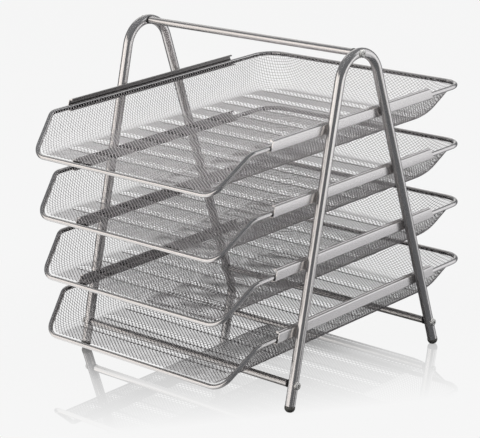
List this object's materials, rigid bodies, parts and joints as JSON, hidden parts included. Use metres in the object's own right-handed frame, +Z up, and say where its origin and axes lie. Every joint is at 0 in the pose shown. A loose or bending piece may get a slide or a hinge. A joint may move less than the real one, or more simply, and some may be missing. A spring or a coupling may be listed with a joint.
{
  "type": "sliding document tray stack",
  "caption": "Desk organizer with sloping-front wire-mesh trays that slide in channel rails between two folded-tube side frames joined by a handle rod",
  "frame": {"origin": "on the floor, in the middle of the outline seen from above", "axes": "+X to the right across the trays, +Y to the back, +Z up; the low front edges face -Y"},
  "size_m": [0.2866, 0.3524, 0.3207],
  "materials": {
    "frame_paint": "satin silver paint",
    "tray_paint": "satin silver paint",
    "screw_zinc": "bright zinc",
    "black_plastic": "matte",
    "foot_rubber": "matte"
  },
  "bodies": {
    "frame": {"left_side_frame": "frame_paint", "left_handle_rod_plug": "black_plastic", "left_handle_rod_screw": "screw_zinc", "left_front_rod_plug": "black_plastic", "left_front_rod_screw": "screw_zinc", "left_rear_rod_plug": "black_plastic", "left_rear_rod_screw": "screw_zinc", "left_rail_1": "frame_paint", "left_rail_2": "frame_paint", "left_rail_3": "frame_paint", "left_rail_4": "frame_paint", "left_front_foot": "foot_rubber", "left_rear_foot": "foot_rubber", "right_side_frame": "frame_paint", "right_handle_rod_plug": "black_plastic", "right_handle_rod_screw": "screw_zinc", "right_front_rod_plug": "black_plastic", "right_front_rod_screw": "screw_zinc", "right_rear_rod_plug": "black_plastic", "right_rear_rod_screw": "screw_zinc", "right_rail_1": "frame_paint", "right_rail_2": "frame_paint", "right_rail_3": "frame_paint", "right_rail_4": "frame_paint", "right_front_foot": "foot_rubber", "right_rear_foot": "foot_rubber", "handle_rod": "frame_paint", "front_cross_rod": "frame_paint", "rear_cross_rod": "frame_paint"},
    "tray_1": {"tray_1_rim": "tray_paint", "tray_1_mesh": "tray_paint"},
    "tray_2": {"tray_2_rim": "tray_paint", "tray_2_mesh": "tray_paint"},
    "tray_3": {"tray_3_rim": "tray_paint", "tray_3_mesh": "tray_paint"},
    "tray_4": {"tray_4_rim": "tray_paint", "tray_4_mesh": "tray_paint"}
  },
  "joints": [
    {"name": "tray_1_slide", "type": "slide", "parent": "frame", "child": "tray_1", "axis": [0, -1, 0], "range_m": [-0.015, 0.19]},
    {"name": "tray_2_slide", "type": "slide", "parent": "frame", "child": "tray_2", "axis": [0, -1, 0], "range_m": [-0.015, 0.19]},
    {"name": "tray_3_slide", "type": "slide", "parent": "frame", "child": "tray_3", "axis": [0, -1, 0], "range_m": [-0.015, 0.19]},
    {"name": "tray_4_slide", "type": "slide", "parent": "frame", "child": "tray_4", "axis": [0, -1, 0], "range_m": [-0.015, 0.19]}
  ]
}
